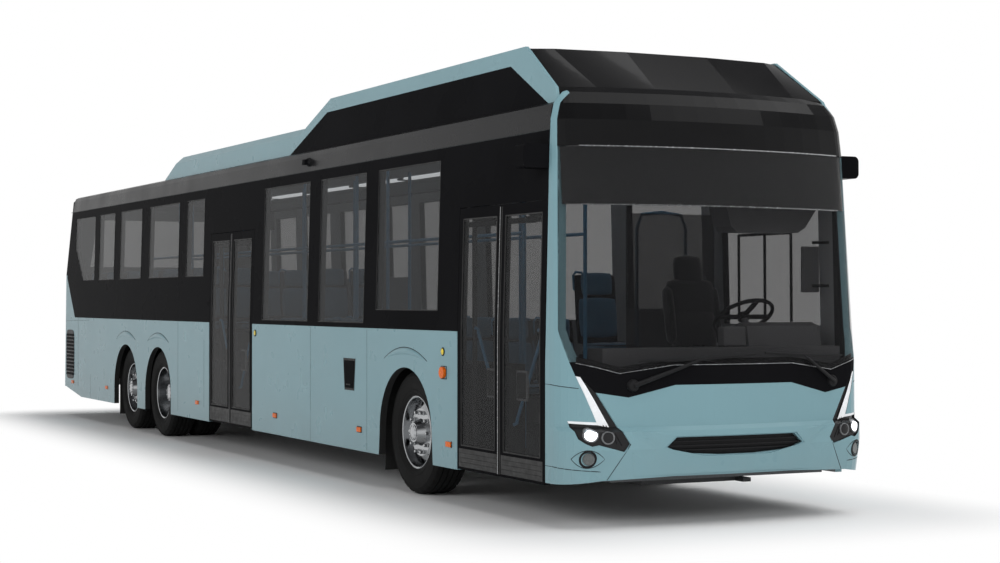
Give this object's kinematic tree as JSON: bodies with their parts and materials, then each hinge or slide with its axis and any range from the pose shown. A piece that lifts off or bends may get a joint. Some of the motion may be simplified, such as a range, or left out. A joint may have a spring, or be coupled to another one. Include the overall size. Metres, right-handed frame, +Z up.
{
  "type": "city bus",
  "caption": "Low-entry electric city bus with outward-swinging passenger doors, steered front wheels, trailing axle, roof battery fairing, glazed saloon with seats and a lifting rear hatch.",
  "frame": {"origin": "on the ground under the middle of the bus, at the centre of the bottom of its box", "axes": "+X forward, +Y to the bus's left (driver's side), +Z up"},
  "size_m": [14.8988, 2.8894, 3.455],
  "materials": {
    "mint_paint": "gloss",
    "black_gloss": "gloss",
    "tinted_glass": "gloss",
    "clear_glass": "gloss",
    "tyre": "matte",
    "polished_rim": "polished",
    "chassis_steel": "satin",
    "floor_cover": "matte",
    "roof_skin": "gloss",
    "black_plastic": "matte",
    "lamp_lens": "gloss",
    "red_lens": "gloss",
    "amber_lens": "gloss",
    "seat_fabric": "matte",
    "driver_fabric": "matte",
    "rail_paint": "satin",
    "cab_trim": "matte",
    "pack_case": "satin",
    "arm_steel": "satin"
  },
  "bodies": {
    "body": {"chassis_frame": "chassis_steel", "floor": "floor_cover", "axle_beams": "chassis_steel", "wheel_housings": "black_plastic", "skirts": "mint_paint", "window_bands": "black_gloss", "saloon_glass": "tinted_glass", "roof": "roof_skin", "roof_fairing": "mint_paint", "roof_pod": "black_gloss", "windscreen": "clear_glass", "front_corners": "mint_paint", "front_panel": "mint_paint", "front_mask": "black_gloss", "grille": "black_plastic", "headlamps": "lamp_lens", "wipers": "black_plastic", "camera_pods": "black_gloss", "rear_wall": "mint_paint", "rear_lamps": "red_lens", "seats": "seat_fabric", "grab_rails": "rail_paint", "driver_seat": "driver_fabric", "driver_cab": "cab_trim", "battery_packs": "pack_case", "drive_motor": "pack_case", "side_markers": "amber_lens"},
    "steering_wheel": {"steering_wheel": "black_plastic"},
    "knuckle_left": {"knuckle_left": "chassis_steel"},
    "wheel_front_left": {"tyre_front_left": "tyre", "rim_front_left": "polished_rim"},
    "wheel_drive_left": {"tyre_drive_left": "tyre", "rim_drive_left": "polished_rim"},
    "wheel_tag_left": {"tyre_tag_left": "tyre", "rim_tag_left": "polished_rim"},
    "knuckle_right": {"knuckle_right": "chassis_steel"},
    "wheel_front_right": {"tyre_front_right": "tyre", "rim_front_right": "polished_rim"},
    "wheel_drive_right": {"tyre_drive_right": "tyre", "rim_drive_right": "polished_rim"},
    "wheel_tag_right": {"tyre_tag_right": "tyre", "rim_tag_right": "polished_rim"},
    "door_front_rear_arm": {"door_front_rear_arm": "arm_steel"},
    "door_front_rear": {"door_front_rear_leaf": "black_gloss", "door_front_rear_glass": "tinted_glass"},
    "door_front_fore_arm": {"door_front_fore_arm": "arm_steel"},
    "door_front_fore": {"door_front_fore_leaf": "black_gloss", "door_front_fore_glass": "tinted_glass"},
    "door_mid_rear_arm": {"door_mid_rear_arm": "arm_steel"},
    "door_mid_rear": {"door_mid_rear_leaf": "black_gloss", "door_mid_rear_glass": "tinted_glass"},
    "door_mid_fore_arm": {"door_mid_fore_arm": "arm_steel"},
    "door_mid_fore": {"door_mid_fore_leaf": "black_gloss", "door_mid_fore_glass": "tinted_glass"},
    "rear_hatch": {"rear_hatch": "mint_paint"}
  },
  "joints": [
    {"name": "steering_wheel_turn", "type": "hinge", "parent": "body", "child": "steering_wheel", "pos_m": [6.48, 0.7, 1.44], "axis": [-0.5433, 0, 0.8396], "range_deg": [-900, 900]},
    {"name": "steer_left", "type": "hinge", "parent": "body", "child": "knuckle_left", "pos_m": [4.48, 0.96, 0.505], "axis": [0, 0, 1], "range_deg": [-50, 50]},
    {"name": "spin_front_left", "type": "hinge", "parent": "knuckle_left", "child": "wheel_front_left", "pos_m": [4.48, 1.0475, 0.505], "axis": [0, 1, 0], "continuous": true},
    {"name": "spin_drive_left", "type": "hinge", "parent": "body", "child": "wheel_drive_left", "pos_m": [-2.75, 0.9125, 0.505], "axis": [0, 1, 0], "continuous": true},
    {"name": "spin_tag_left", "type": "hinge", "parent": "body", "child": "wheel_tag_left", "pos_m": [-4.17, 1.0475, 0.505], "axis": [0, 1, 0], "continuous": true},
    {"name": "steer_right", "type": "hinge", "parent": "body", "child": "knuckle_right", "pos_m": [4.48, -0.96, 0.505], "axis": [0, 0, 1], "range_deg": [-50, 50]},
    {"name": "spin_front_right", "type": "hinge", "parent": "knuckle_right", "child": "wheel_front_right", "pos_m": [4.48, -1.0475, 0.505], "axis": [0, 1, 0], "continuous": true},
    {"name": "spin_drive_right", "type": "hinge", "parent": "body", "child": "wheel_drive_right", "pos_m": [-2.75, -0.9125, 0.505], "axis": [0, 1, 0], "continuous": true},
    {"name": "spin_tag_right", "type": "hinge", "parent": "body", "child": "wheel_tag_right", "pos_m": [-4.17, -1.0475, 0.505], "axis": [0, 1, 0], "continuous": true},
    {"name": "door_front_rear_swing", "type": "hinge", "parent": "body", "child": "door_front_rear_arm", "pos_m": [5.573, -1.165, 1.3], "axis": [0, 0, -1], "range_deg": [0, 140]},
    {"name": "door_front_rear_keep", "type": "hinge", "parent": "door_front_rear_arm", "child": "door_front_rear", "pos_m": [5.893, -1.165, 1.3], "axis": [0, 0, 1], "range_deg": [0, 140]},
    {"name": "door_front_fore_swing", "type": "hinge", "parent": "body", "child": "door_front_fore_arm", "pos_m": [6.851, -1.165, 1.3], "axis": [0, 0, 1], "range_deg": [0, 140]},
    {"name": "door_front_fore_keep", "type": "hinge", "parent": "door_front_fore_arm", "child": "door_front_fore", "pos_m": [6.531, -1.165, 1.3], "axis": [0, 0, -1], "range_deg": [0, 140]},
    {"name": "door_mid_rear_swing", "type": "hinge", "parent": "body", "child": "door_mid_rear_arm", "pos_m": [-0.701, -1.165, 1.3], "axis": [0, 0, -1], "range_deg": [0, 140]},
    {"name": "door_mid_rear_keep", "type": "hinge", "parent": "door_mid_rear_arm", "child": "door_mid_rear", "pos_m": [-0.381, -1.165, 1.3], "axis": [0, 0, 1], "range_deg": [0, 140]},
    {"name": "door_mid_fore_swing", "type": "hinge", "parent": "body", "child": "door_mid_fore_arm", "pos_m": [0.549, -1.165, 1.3], "axis": [0, 0, 1], "range_deg": [0, 140]},
    {"name": "door_mid_fore_keep", "type": "hinge", "parent": "door_mid_fore_arm", "child": "door_mid_fore", "pos_m": [0.229, -1.165, 1.3], "axis": [0, 0, -1], "range_deg": [0, 140]},
    {"name": "rear_hatch_lift", "type": "hinge", "parent": "body", "child": "rear_hatch", "pos_m": [-7.426, 0, 1.504], "axis": [0, 1, 0], "range_deg": [0, 80]}
  ],
  "couplings": [
    {"joint": "steer_left", "follows": "steering_wheel_turn", "ratio": 0.055556},
    {"joint": "steer_right", "follows": "steering_wheel_turn", "ratio": 0.055556},
    {"joint": "door_front_rear_keep", "follows": "door_front_rear_swing", "ratio": 1},
    {"joint": "door_front_fore_keep", "follows": "door_front_fore_swing", "ratio": 1},
    {"joint": "door_mid_rear_keep", "follows": "door_mid_rear_swing", "ratio": 1},
    {"joint": "door_mid_fore_keep", "follows": "door_mid_fore_swing", "ratio": 1}
  ]
}
